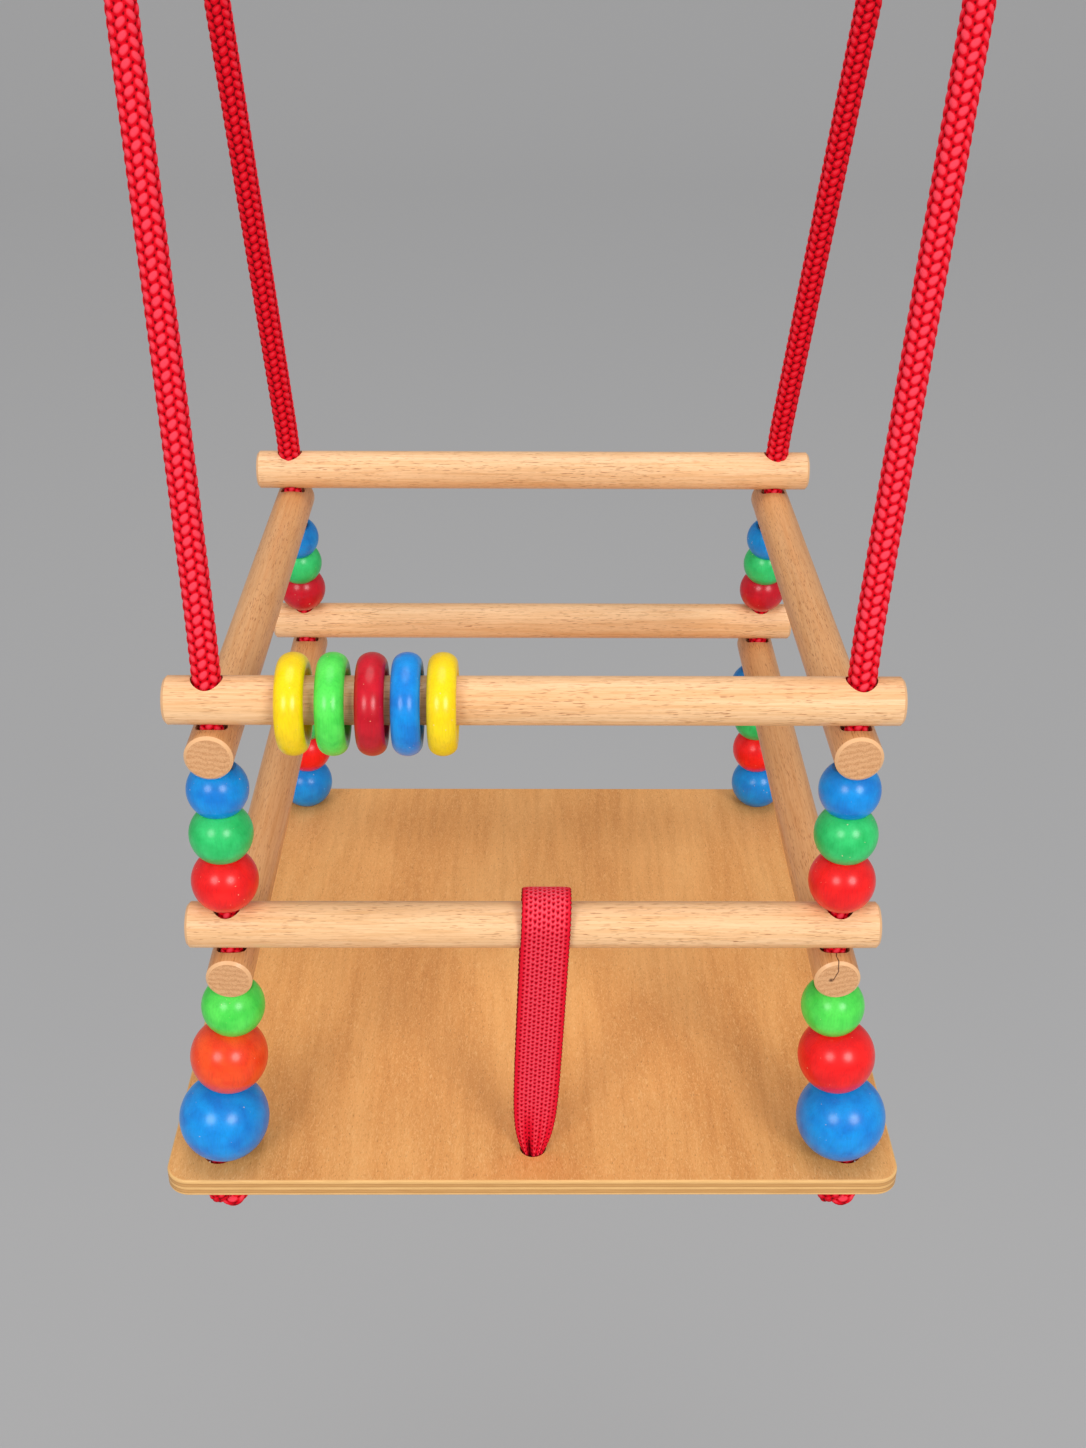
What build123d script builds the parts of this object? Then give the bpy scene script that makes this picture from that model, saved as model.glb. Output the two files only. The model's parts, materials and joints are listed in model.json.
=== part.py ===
from build123d import *
import os
from math import asin, atan2, cos, degrees, hypot, pi, sin, sqrt

# A toddler's bucket swing: a plywood seat and two open frames of beech dowels, one above the
# other, threaded with coloured wooden beads on two braided ropes. Each rope starts in a knot
# under the seat, climbs through the front corner, passes over a steel ring and comes down
# through the back corner. Millimetres, +Z up, the child faces -Y.
# Every piece is drawn with the seat's top face at z = 0, and is moved on export so that the
# origin is in the swing's middle plane, on the axis through its two rings that it swings about.

os.makedirs("parts", exist_ok=True)

# ---- Seat board ---------------------------------------------------------------------------
seat_width = 334.0
seat_depth = 334.0
seat_thickness = 9.0
seat_corner_radius = 11.0
seat_edge_round = 1.0
seat_hole_dia = 14.5
front_seat_hole_depth = 18.5   # from the front edge to the two front ropes at the seat's top
back_seat_hole_depth = 14.0    # from the back edge to the two back ropes
front_seat_hole_inset = 23.5   # from the side edge to the two front ropes
back_seat_hole_inset = 27.5    # from the side edge to the two back ropes
strap_hole_dia = 12.0
strap_hole_inset = 21.0        # from the front edge

# ---- Dowels -------------------------------------------------------------------------------
rail_dia = 20.0
rail_inset = 18.5              # the dowels that run across end this far inside the seat's sides
rail_chamfer = 1.2
rail_hole_dia = 13.0
rail_hole_inset = 17.5         # from the end of a dowel that runs across to the rope
side_overhang = 13.0           # side dowels reach this far past the rope, front and back
lower_front_setback = 10.5     # the lower dowels stand inside the ropes' holes in the seat
lower_back_setback = 5.0
upper_front_setback = 7.0      # and the upper dowels inside the lower ones
upper_back_setback = 14.0

# ---- Ropes, rings and knots ---------------------------------------------------------------
rope_dia = 12.0
rope_bend_radius = 60.0        # where the rope turns at the mouth of a hole
knot_dia = 21.0
knot_height = 18.0
knot_round = 7.5
knot_shift = 3.0               # each knot sits this far from its rope towards the middle
hang_height = 937.0            # from the seat's top to the middle of the ring's lower wire
hang_y = -4.9                  # the rings are above the swing's centre of mass
hang_x = 11.0                  # the swing hangs a little askew: its rings are to the right of it
ring_x = 174.0                 # from midway between the rings to the middle of each ring
ring_wire_dia = 10.0
ring_bore_dia = 44.0
eye_clearance = 0.4            # between the rope's eye and the wire that it hangs on
eye_length = 34.0              # from the wire's middle down to the whipping
whipping_length = 30.0
whipping_wall = 1.3
rope_pair_gap = 0.5            # between the two ropes inside the whipping
whipping_bend_radius = 40.0

# ---- Beads --------------------------------------------------------------------------------
bead_bore_dia = 13.0
bead_flat_dia = 17.0           # flat around the mouth of each bore
# Each column from its lowest bead up: name and largest diameter.
upper_front_beads = [("red", 28.5), ("green", 27.0), ("blue", 26.0)]
lower_front_beads = [("blue", 40.5), ("orange", 34.5), ("green", 28.0)]
upper_back_beads = [("red", 25.5), ("green", 24.5), ("blue", 24.0)]
lower_back_beads = [("blue", 31.0), ("red", 28.5), ("green", 26.5), ("sky", 29.5)]

# ---- Play rings on the front bar ----------------------------------------------------------
play_ring_dia = 42.0
play_ring_bore = 24.0
play_ring_width = 11.8
play_ring_names = ["yellow_outer", "green", "red", "blue", "yellow_inner"]
# From the left side dowel to the first ring, and then from each ring to the next.
play_ring_gaps = [18.1, 4.2, 3.9, 2.4, 2.5]

# ---- Crotch strap -------------------------------------------------------------------------
strap_width = 22.0
strap_layer = 2.2
strap_loop_radius = 11.0       # inside the loop, round the lower front bar
strap_loop_rise = 4.0          # the loop's middle stands above the bar's middle
strap_join_height = 46.0       # the two layers lie together below this height
strap_gather_height = 26.0     # the band narrows to the hole from this height down
strap_stem_dia = 10.6
strap_knot_dia = 19.0
strap_knot_height = 11.0
strap_knot_round = 4.5
strap_lean = 5.0               # the loop has slipped this far to the right along the bar

piece_gap = 0.3                # between pieces that rest on each other

rail_radius = rail_dia / 2
rope_radius = rope_dia / 2
rail_length = seat_width - 2 * rail_inset
rope_x = rail_length / 2 - rail_hole_inset     # the ropes' line through the dowels
front_seat_hole_x = seat_width / 2 - front_seat_hole_inset
back_seat_hole_x = seat_width / 2 - back_seat_hole_inset
front_seat_hole_y = front_seat_hole_depth - seat_depth / 2
back_seat_hole_y = seat_depth / 2 - back_seat_hole_depth
strap_hole_y = strap_hole_inset - seat_depth / 2
lower_front_y = front_seat_hole_y + lower_front_setback
lower_back_y = back_seat_hole_y - lower_back_setback
upper_front_y = lower_front_y + upper_front_setback
upper_back_y = lower_back_y - upper_back_setback


def export(solid, name):
    """Move a piece to the hanging frame and write it."""
    solid = solid.moved(Location((0, -hang_y, -hang_height)))
    solid.label = name
    export_step(solid, f"parts/{name}.step")


def bead_height(diameter):
    """Between the two flats of a bead."""
    return sqrt(diameter**2 - bead_flat_dia**2)


def stack_length(beads, lean):
    """Length of a column of beads on its rope, whose top is offset sideways by lean."""
    gaps = piece_gap * (len(beads) + 1)
    length = sum(bead_height(diameter) for _, diameter in beads) + gaps
    tilt_room = bead_flat_dia * lean / length   # a tilted flat needs it, half at each end
    return length + tilt_room


def column_rise(beads, lean):
    """Height that a leaning column of beads reaches."""
    return sqrt(stack_length(beads, lean) ** 2 - lean**2)


# ---- Heights, each worked out from what the dowels rest on ---------------------------------
# At each corner the side dowel lies on the beads and the front or back dowel lies on it.
crossing = rail_dia + piece_gap
lower_front_lean = hypot(front_seat_hole_x - rope_x, lower_front_y - front_seat_hole_y)
lower_back_lean = hypot(back_seat_hole_x - rope_x, back_seat_hole_y - lower_back_y)
lower_front_mouth = column_rise(lower_front_beads, lower_front_lean)
lower_back_mouth = column_rise(lower_back_beads, lower_back_lean)
lower_front_z = lower_front_mouth + rail_radius + crossing
lower_back_z = lower_back_mouth + rail_radius + crossing
upper_front_rise = column_rise(upper_front_beads, abs(upper_front_y - lower_front_y))
upper_back_rise = column_rise(upper_back_beads, abs(upper_back_y - lower_back_y))
upper_front_mouth = lower_front_z + rail_radius + upper_front_rise
upper_back_mouth = lower_back_z + rail_radius + upper_back_rise
upper_front_z = upper_front_mouth + rail_radius + crossing
upper_back_z = upper_back_mouth + rail_radius + crossing


# ---- The ropes' line at each corner --------------------------------------------------------
def corner_route(side, front):
    """The rope's points at one corner: at the seat's top, then at the mouths of the dowels."""
    seat_x = front_seat_hole_x if front else back_seat_hole_x
    seat_y = front_seat_hole_y if front else back_seat_hole_y
    lower_y, upper_y = (lower_front_y, upper_front_y) if front else (lower_back_y, upper_back_y)
    lower_z, upper_z = (lower_front_z, upper_front_z) if front else (lower_back_z, upper_back_z)
    lower_mouth = lower_front_mouth if front else lower_back_mouth
    upper_mouth = upper_front_mouth if front else upper_back_mouth
    return [
        Vector(side * seat_x, seat_y, 0),
        Vector(side * rope_x, lower_y, lower_mouth),
        Vector(side * rope_x, lower_y, lower_z + rail_radius),
        Vector(side * rope_x, upper_y, upper_mouth),
        Vector(side * rope_x, upper_y, upper_z + rail_radius),
    ]


def below_seat_top(side, front, depth):
    """Where the rope's middle is at this depth below the seat's top face."""
    seat_point, first_mouth = corner_route(side, front)[:2]
    along = first_mouth - seat_point
    return seat_point - along * (depth / along.Z)


corners = [(side, front) for side in (-1, 1) for front in (True, False)]


# ---- Seat board ---------------------------------------------------------------------------
def make_seat():
    board = Box(seat_width, seat_depth, seat_thickness, align=(Align.CENTER, Align.CENTER, Align.MAX))
    board = fillet(board.edges().filter_by(Axis.Z), seat_corner_radius)
    rims = board.faces().sort_by(Axis.Z)
    board = fillet(rims[0].edges() + rims[-1].edges(), seat_edge_round)
    for side, front in corners:
        middle = below_seat_top(side, front, seat_thickness / 2)
        board -= Pos(middle.X, middle.Y, 0) * Cylinder(seat_hole_dia / 2, 3 * seat_thickness)
    return board - Pos(0, strap_hole_y, 0) * Cylinder(strap_hole_dia / 2, 3 * seat_thickness)


# ---- Dowels -------------------------------------------------------------------------------
def make_dowel(start, end, holes):
    """A dowel with chamfered ends between two points, with upright holes at the given points."""
    start, end = Vector(*start), Vector(*end)
    along = Plane(origin=start, z_dir=end - start)
    dowel = Cylinder(rail_radius, (end - start).length, align=(Align.CENTER, Align.CENTER, Align.MIN))
    dowel = chamfer(dowel.edges().filter_by(GeomType.CIRCLE), rail_chamfer)
    dowel = along * dowel
    for hole in holes:
        dowel -= Pos(*hole) * Cylinder(rail_hole_dia / 2, 3 * rail_dia)
    return dowel


def make_cross_rail(y, z):
    """A dowel across the swing, with a rope hole near each end."""
    half = rail_length / 2
    return make_dowel((-half, y, z), (half, y, z), [(-rope_x, y, z), (rope_x, y, z)])


def make_side_rail(x, front_y, front_z, back_y, back_z):
    """A dowel from front to back, below the front and back dowels that cross it."""
    slope = (back_z - front_z) / (back_y - front_y)
    front_hole = (x, front_y, front_z - crossing)
    back_hole = (x, back_y, back_z - crossing)
    start = (x, front_y - side_overhang, front_z - crossing - slope * side_overhang)
    end = (x, back_y + side_overhang, back_z - crossing + slope * side_overhang)
    return make_dowel(start, end, [front_hole, back_hole])


# ---- Beads --------------------------------------------------------------------------------
def make_bead(diameter):
    """A ball with a bore and a flat at each mouth of it, centred on the origin."""
    ball = Sphere(diameter / 2)
    height = bead_height(diameter)
    ball &= Box(2 * diameter, 2 * diameter, height)
    return ball - Cylinder(bead_bore_dia / 2, 2 * diameter)


def thread_beads(name, beads, bottom, top):
    """Put a column of beads on the straight rope between two points, from the bottom up."""
    along = (top - bottom).normalized()
    bare_length = sum(bead_height(diameter) for _, diameter in beads) + piece_gap * (len(beads) - 1)
    reach = ((top - bottom).length - bare_length) / 2
    for colour, diameter in beads:
        height = bead_height(diameter)
        middle = bottom + along * (reach + height / 2)
        export(Plane(origin=middle, z_dir=along) * make_bead(diameter), f"bead_{name}_{colour}")
        reach += height + piece_gap


# ---- Ropes --------------------------------------------------------------------------------
def up_to_ring(side):
    """Direction in which a pair of ropes reaches its ring, seen from the front."""
    rise = hang_height - upper_front_z - rail_radius
    return Vector(hang_x + side * (ring_x - rope_x), 0, rise).normalized()


def make_rope(side):
    """One rope: up the front corner, over its ring in a whipped eye, and down the back."""
    up = up_to_ring(side)
    wire_middle = Vector(hang_x + side * ring_x, hang_y, hang_height)

    def in_eye(y, height):
        return wire_middle + Vector(0, y, 0) + up * height

    # The eye is a circle round the wire with two tangents down to the whipping.
    eye_radius = ring_wire_dia / 2 + rope_radius + eye_clearance
    pair_y = rope_radius + rope_pair_gap / 2
    reach = hypot(pair_y, eye_length)
    outward = asin(eye_radius / reach) - atan2(pair_y, eye_length)
    touch_y, touch_height = eye_radius * cos(outward), -eye_radius * sin(outward)
    legs = []
    for front in (True, False):
        sign = -1 if front else 1
        route = [below_seat_top(side, front, 2 * seat_thickness)] + corner_route(side, front)[1:] + [
            in_eye(sign * pair_y, -eye_length - whipping_length),
            in_eye(sign * pair_y, -eye_length),
            in_eye(sign * touch_y, touch_height),
        ]
        radii = [rope_bend_radius] * 4 + [whipping_bend_radius] * 2
        legs.append(FilletPolyline(*route, radius=radii))
    over = ThreePointArc(legs[0] @ 1, in_eye(0, eye_radius), in_eye(touch_y, touch_height))
    path = Wire(legs[0].edges() + over.edges() + legs[1].edges())
    start = Plane(origin=path @ 0, z_dir=path % 0)
    rope = sweep(start * Circle(rope_radius), path=path)
    under_seat = Pos(0, 0, -seat_thickness) * Box(
        2 * seat_width, 2 * seat_depth, 4 * seat_thickness, align=(Align.CENTER, Align.CENTER, Align.MAX)
    )
    volume_ratio = rope.volume / (path.length * pi * rope_radius**2)
    print("rope", side, "length", round(path.length), "volume ratio", round(volume_ratio, 4))
    print("  bends: radius", rope_bend_radius, "at each dowel,", whipping_bend_radius, "at the whipping")
    return rope - under_seat


def make_whipping(side):
    """A binding of twine round the two ropes below the eye."""
    up = up_to_ring(side)
    foot = Vector(hang_x + side * ring_x, hang_y, hang_height) - up * (eye_length + whipping_length)
    pair_width = 2 * rope_dia + rope_pair_gap + 2 * piece_gap
    bore = SlotOverall(pair_width, rope_dia + 2 * piece_gap)
    outside = offset(bore, whipping_wall)
    return extrude(Plane(origin=foot, x_dir=(0, 1, 0), z_dir=up) * (outside - bore), whipping_length)


def make_hanging_ring(side):
    """A welded steel ring, upright and seen full face from the front."""
    middle_radius = (ring_bore_dia + ring_wire_dia) / 2
    place = Pos(hang_x + side * ring_x, hang_y, hang_height + middle_radius) * Rot(90, 0, 0)
    return place * Torus(middle_radius, ring_wire_dia / 2)


def make_knot(diameter, height, rounding):
    """The outer shape of a knot pulled up against the seat."""
    knot = Cylinder(diameter / 2, height, align=(Align.CENTER, Align.CENTER, Align.MAX))
    return fillet(knot.edges().filter_by(GeomType.CIRCLE), rounding)


# ---- Crotch strap -------------------------------------------------------------------------
def teardrop(radius, join_height):
    """A loop round the bar whose two sides meet at a point above the strap's hole."""
    loop_z = lower_front_z + strap_loop_rise
    drop = loop_z - join_height
    drift = lower_front_y - strap_hole_y
    reach = hypot(drop, drift)
    half_angle = asin(radius / reach)
    heading = atan2(drop, drift)
    length = sqrt(reach**2 - radius**2)
    join = (strap_hole_y, join_height)
    sides = [
        (join[0] + length * cos(heading + turn), join[1] + length * sin(heading + turn))
        for turn in (-half_angle, half_angle)
    ]
    disc = Pos(lower_front_y, loop_z) * Circle(radius)
    return disc + make_face(Polyline(join, *sides, close=True))


def make_strap():
    """A folded band over the lower front bar, gathered into its hole in the seat."""
    inner = teardrop(strap_loop_radius, strap_join_height)
    outer = teardrop(strap_loop_radius + strap_layer, strap_join_height - strap_layer)
    flat_height = strap_join_height - strap_gather_height
    flat = Pos(strap_hole_y, strap_join_height - flat_height / 2)
    flat *= Rectangle(2 * strap_layer, flat_height)
    band = extrude(Plane.YZ * (outer + flat - inner), strap_width / 2, both=True)
    at_hole = Plane.XY.offset(seat_thickness / 2) * Pos(0, strap_hole_y) * Circle(strap_stem_dia / 2)
    at_band = Plane.XY.offset(strap_gather_height) * Pos(0, strap_hole_y)
    at_band *= Rectangle(strap_width, 2 * strap_layer)
    gather = loft([at_hole, at_band])
    stem = Pos(0, strap_hole_y, -seat_thickness) * Cylinder(
        strap_stem_dia / 2, 1.5 * seat_thickness, align=(Align.CENTER, Align.CENTER, Align.MIN)
    )
    lean = degrees(atan2(strap_lean, lower_front_z + strap_loop_rise))
    return Rot(0, lean, 0) * (band + gather) + stem


# ---- Play rings ---------------------------------------------------------------------------
def make_play_ring():
    """A turned wooden ring, oval in section, with its axis along X."""
    section_width = (play_ring_dia - play_ring_bore) / 2
    section = Ellipse(play_ring_width / 2, section_width / 2)
    return revolve(Pos(0, play_ring_bore / 2 + section_width / 2) * section, Axis.X)


# ---- Write every piece --------------------------------------------------------------------
export(make_seat(), "seat_board")
levels = {
    "upper": (upper_front_y, upper_front_z, upper_back_y, upper_back_z),
    "lower": (lower_front_y, lower_front_z, lower_back_y, lower_back_z),
}
sides = {"left": -1, "right": 1}
for level, (front_y, front_z, back_y, back_z) in levels.items():
    export(make_cross_rail(front_y, front_z), f"rail_{level}_front")
    export(make_cross_rail(back_y, back_z), f"rail_{level}_back")
    for side, sign in sides.items():
        export(make_side_rail(sign * rope_x, front_y, front_z, back_y, back_z), f"rail_{level}_{side}")

for side, sign in sides.items():
    for place, lower_beads, upper_beads in (
        ("front", lower_front_beads, upper_front_beads),
        ("back", lower_back_beads, upper_back_beads),
    ):
        route = corner_route(sign, place == "front")
        thread_beads(f"lower_{place}_{side}", lower_beads, route[0], route[1])
        thread_beads(f"upper_{place}_{side}", upper_beads, route[2], route[3])
        rope_foot = below_seat_top(sign, place == "front", seat_thickness)
        knot = make_knot(knot_dia, knot_height, knot_round)
        knot = Pos(-sign * knot_shift, 0, 0) * knot
        export(Pos(*rope_foot) * knot, f"knot_{place}_{side}")
    export(make_rope(sign), f"rope_{side}")
    export(make_whipping(sign), f"whipping_{side}")
    export(make_hanging_ring(sign), f"hanging_ring_{side}")

export(make_strap(), "crotch_strap")
strap_knot = make_knot(strap_knot_dia, strap_knot_height, strap_knot_round)
export(Pos(0, strap_hole_y, -seat_thickness) * strap_knot, "crotch_strap_knot")

play_ring_z = upper_front_z + rail_radius + piece_gap - play_ring_bore / 2
play_ring_x = rail_radius - rope_x - play_ring_width / 2
for name, gap in zip(play_ring_names, play_ring_gaps):
    play_ring_x += gap + play_ring_width
    export(Pos(play_ring_x, upper_front_y, play_ring_z) * make_play_ring(), f"play_ring_{name}")
print("front dowels at", round(lower_front_z, 1), round(upper_front_z, 1))
print("back dowels at", round(lower_back_z, 1), round(upper_back_z, 1))
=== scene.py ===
import bpy
import json
import math
import numpy as np
from mathutils import Matrix, Vector


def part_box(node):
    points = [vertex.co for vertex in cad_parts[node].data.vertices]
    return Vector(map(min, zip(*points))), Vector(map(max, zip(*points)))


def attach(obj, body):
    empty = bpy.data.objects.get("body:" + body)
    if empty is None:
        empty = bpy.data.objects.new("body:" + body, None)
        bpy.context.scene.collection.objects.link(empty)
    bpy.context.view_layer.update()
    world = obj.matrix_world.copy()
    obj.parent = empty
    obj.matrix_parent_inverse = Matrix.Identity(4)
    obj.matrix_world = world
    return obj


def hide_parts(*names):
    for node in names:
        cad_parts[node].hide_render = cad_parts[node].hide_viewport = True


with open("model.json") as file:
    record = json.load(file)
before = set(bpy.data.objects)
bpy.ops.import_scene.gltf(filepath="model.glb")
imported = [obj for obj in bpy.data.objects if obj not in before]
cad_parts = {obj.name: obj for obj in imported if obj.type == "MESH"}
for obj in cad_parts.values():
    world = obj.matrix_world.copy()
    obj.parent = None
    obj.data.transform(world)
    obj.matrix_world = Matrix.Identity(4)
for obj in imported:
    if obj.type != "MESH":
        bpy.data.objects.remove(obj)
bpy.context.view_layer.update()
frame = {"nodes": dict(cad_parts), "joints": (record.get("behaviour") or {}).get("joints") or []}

# A toddler's bucket swing, in metres. The origin lies in the swing's middle plane, on the line
# through its two steel rings, +Z is up and the child faces -Y. Each section below makes one kind
# of piece, with its finish.


# ---- Studio ------------------------------------------------------------------------------------
# The swing hangs above a plain pale floor. Two soft boxes stand left and right of the camera, a
# little above it, and the room itself fills the shadows.

seat_low, seat_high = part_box("seat_board")
seat_top = seat_high.z
seat_middle = (seat_low + seat_high) / 2


def to_linear(red, green, blue):
    """A colour as a painter mixes it, 0 to 255, in the renderer's linear light."""
    channels = []
    for channel in (red, green, blue):
        share = channel / 255
        channels.append(share / 12.92 if share <= 0.04045 else ((share + 0.055) / 1.055) ** 2.4)
    return (*channels, 1.0)


camera_data = bpy.data.cameras.new("camera")
camera_data.sensor_width = 36.0
camera_data.lens = 41.45
camera_data.clip_start = 0.01
camera = bpy.data.objects.new("camera", camera_data)
bpy.context.scene.collection.objects.link(camera)
bpy.context.scene.camera = camera
camera_place = (-0.0027, -0.7127, seat_top + 0.5551)
camera_pitch, camera_roll, camera_yaw = 29.9, 0.4, 0.6      # degrees: down, and to the right
turn = Matrix.Rotation(math.radians(-camera_yaw), 4, "Z")
turn @= Matrix.Rotation(math.radians(90 - camera_pitch), 4, "X")
turn @= Matrix.Rotation(math.radians(camera_roll), 4, "Z")
camera.matrix_world = Matrix.Translation(camera_place) @ turn

floor_drop = 0.55              # from the seat down to the floor
floor_reach = 6.0
wall_radius = 1.5              # the floor curves up into a back wall
wall_steps = 12
floor_plainness = 0.66         # the share of the floor that is its plain colour to the camera


def make_floor():
    """A floor that sweeps up into a wall far behind the swing."""
    ground = seat_low.z - floor_drop
    back = floor_reach - wall_radius
    outline = [(-floor_reach, ground), (back, ground)]
    for step in range(1, wall_steps + 1):
        angle = math.pi / 2 * step / wall_steps
        depth, height = wall_radius * math.sin(angle), wall_radius * (1 - math.cos(angle))
        outline.append((back + depth, ground + height))
    outline.append((floor_reach, ground + floor_reach))
    corners = [(x, y, z) for y, z in outline for x in (-floor_reach, floor_reach)]
    faces = [(2 * i, 2 * i + 1, 2 * i + 3, 2 * i + 2) for i in range(len(outline) - 1)]
    mesh = bpy.data.meshes.new("floor")
    mesh.from_pydata(corners, [], faces)
    mesh.shade_smooth()
    floor = bpy.data.objects.new("floor", mesh)
    bpy.context.scene.collection.objects.link(floor)
    return floor


floor = make_floor()
floor_paint = bpy.data.materials.new("floor_paint")
floor_paint.use_nodes = True
floor_nodes = floor_paint.node_tree.nodes
floor_links = floor_paint.node_tree.links
floor_shader = floor_nodes["Principled BSDF"]
floor_shader.inputs["Base Color"].default_value = to_linear(188, 188, 189)
floor_shader.inputs["Roughness"].default_value = 0.9
# Most of what the camera sees of the floor is its plain colour, so it stays even far away.
floor_plain = floor_nodes.new("ShaderNodeEmission")
floor_plain.inputs["Color"].default_value = to_linear(166, 166, 167)
floor_rays = floor_nodes.new("ShaderNodeLightPath")
floor_share = floor_nodes.new("ShaderNodeMath")
floor_share.operation = "MULTIPLY"
floor_share.inputs[1].default_value = floor_plainness
floor_links.new(floor_rays.outputs["Is Camera Ray"], floor_share.inputs[0])
floor_mix = floor_nodes.new("ShaderNodeMixShader")
floor_links.new(floor_share.outputs[0], floor_mix.inputs[0])
floor_links.new(floor_shader.outputs[0], floor_mix.inputs[1])
floor_links.new(floor_plain.outputs[0], floor_mix.inputs[2])
floor_links.new(floor_mix.outputs[0], floor_nodes["Material Output"].inputs["Surface"])
floor.data.materials.append(floor_paint)

# Each soft box: name, place, width and power.
for name, place, width, power in (
    ("soft_box_left", (-1.55, -2.70, seat_top + 1.75), 1.4, 42.0),
    ("soft_box_right", (1.55, -2.70, seat_top + 1.75), 1.4, 54.0),
    ("soft_box_above", (0.0, 0.2, seat_top + 2.6), 1.8, 20.0),
):
    light_data = bpy.data.lights.new(name, "AREA")
    light_data.shape = "DISK"
    light_data.size = width
    light_data.energy = power
    light = bpy.data.objects.new(name, light_data)
    light.location = place
    light.rotation_euler = (seat_middle - Vector(place)).to_track_quat("-Z", "Y").to_euler()
    bpy.context.scene.collection.objects.link(light)

room = bpy.data.worlds.new("room")
room.use_nodes = True
room_light = room.node_tree.nodes["Background"]
room_light.inputs["Color"].default_value = (1.0, 0.985, 0.97, 1.0)
room_light.inputs["Strength"].default_value = 0.46
bpy.context.scene.world = room
bpy.context.scene.view_settings.view_transform = "Standard"


# ---- Ropes -------------------------------------------------------------------------------------
# One rope a side, 12 mm thick, braided from eight fat strands of red polyester. It starts in a
# knot under the seat, climbs through the front corner, goes over its steel ring and comes down
# through the back corner to its second knot. The swing's weight pulls it straight.

rope_diameter = 0.012
# Each rope's line: up the front, over the ring, and down the back. Its points are given as x on
# the left-hand rope, x on the right-hand one, y and z.
rope_route = [
    (-0.1459, 0.1459, -0.1457, -0.9550),
    (-0.1310, 0.1310, -0.1331, -0.8451),
    (-0.1310, 0.1310, -0.1331, -0.8048),
    (-0.1310, 0.1310, -0.1261, -0.7386),
    (-0.1310, 0.1310, -0.1261, -0.6983),
    (-0.1328, 0.1340, -0.1187, -0.6590),
    (-0.1663, 0.1908, -0.0198, -0.0932),
    (-0.1601, 0.1801, -0.0063, -0.0638),
    (-0.1614, 0.1824, -0.0063, -0.0339),
    (-0.1629, 0.1849, -0.0113, -0.0017),
    (-0.1635, 0.1859, -0.0114, 0.0114),
    (-0.1635, 0.1859, 0.0114, 0.0114),
    (-0.1629, 0.1849, 0.0113, -0.0017),
    (-0.1614, 0.1824, 0.0063, -0.0339),
    (-0.1601, 0.1801, 0.0063, -0.0638),
    (-0.1588, 0.1779, 0.0124, -0.0931),
    (-0.1328, 0.1340, 0.1308, -0.6638),
    (-0.1310, 0.1310, 0.1389, -0.7029),
    (-0.1310, 0.1310, 0.1389, -0.7432),
    (-0.1310, 0.1310, 0.1529, -0.8007),
    (-0.1310, 0.1310, 0.1529, -0.8410),
    (-0.1411, 0.1411, 0.1588, -0.9550),
]
braid_pairs = 4                # strands each way round
braid_pitch = 0.0045           # from one crown to the next, along the rope
braid_relief = 0.0011          # from the crown of a strand down to the gap between strands
braid_columns = 64             # mesh points round the rope
braid_step = 0.00052           # mesh step along the rope
braid_slant = math.radians(46)             # how far a crown leans from the rope's line
crown_length, crown_width = 0.66, 0.46     # half a crown, in shares of the braid's cell
hole_squeeze = 0.82            # how thin the rope is drawn where it runs through dowels and beads
hole_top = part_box("rail_upper_front")[1].z - 0.006
hole_fade = 0.008              # below hole_top the rope thins over this height


def spline_line(name, points):
    """The points of the smooth line that these control points make."""
    curve = bpy.data.curves.new(name, "CURVE")
    curve.dimensions = "3D"
    curve.resolution_u = 32
    spline = curve.splines.new("NURBS")
    spline.points.add(len(points) - 1)
    for control, point in zip(spline.points, points):
        control.co = (*point, 1.0)
    spline.order_u = 3
    spline.use_endpoint_u = True
    holder = bpy.data.objects.new(name, curve)
    mesh = bpy.data.meshes.new_from_object(holder)
    line = np.array([vertex.co for vertex in mesh.vertices])
    bpy.data.objects.remove(holder)
    bpy.data.meshes.remove(mesh)
    return line


def even_steps(line, step):
    """The same line with its points one step apart, and each point's distance along it."""
    reach = np.concatenate([[0], np.cumsum(np.linalg.norm(np.diff(line, axis=0), axis=1))])
    along = np.linspace(0, reach[-1], int(reach[-1] / step) + 1)
    return np.stack([np.interp(along, reach, line[:, axis]) for axis in range(3)], 1), along


def carried_frames(line):
    """Two directions square to the line, carried along it without twisting."""
    tangents = np.gradient(line, axis=0)
    tangents /= np.linalg.norm(tangents, axis=1)[:, None]
    side = np.cross(tangents[0], (0.0, 1.0, 0.0))
    sides = []
    for tangent in tangents:
        side = side - tangent * np.dot(side, tangent)
        side /= np.linalg.norm(side)
        sides.append(side)
    sides = np.array(sides)
    return sides, np.cross(tangents, sides)


def skin(name, rings, material, closed_line=False):
    """A mesh through rows of points, each row a closed ring, with a cap at each open end."""
    rows, columns = rings.shape[:2]
    first_rows = np.arange(rows if closed_line else rows - 1)
    row, column = np.meshgrid(first_rows, np.arange(columns), indexing="ij")
    next_row, next_column = (row + 1) % rows, (column + 1) % columns
    quads = np.stack([
        row * columns + column, row * columns + next_column,
        next_row * columns + next_column, next_row * columns + column,
    ], -1).reshape(-1, 4)
    faces = quads.tolist()
    if not closed_line:
        faces += [list(range(columns))[::-1], [(rows - 1) * columns + i for i in range(columns)]]
    mesh = bpy.data.meshes.new(name)
    mesh.from_pydata(rings.reshape(-1, 3).tolist(), [], faces)
    mesh.shade_smooth()
    mesh.materials.append(material)
    piece = bpy.data.objects.new(name, mesh)
    bpy.context.scene.collection.objects.link(piece)
    return piece


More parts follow.
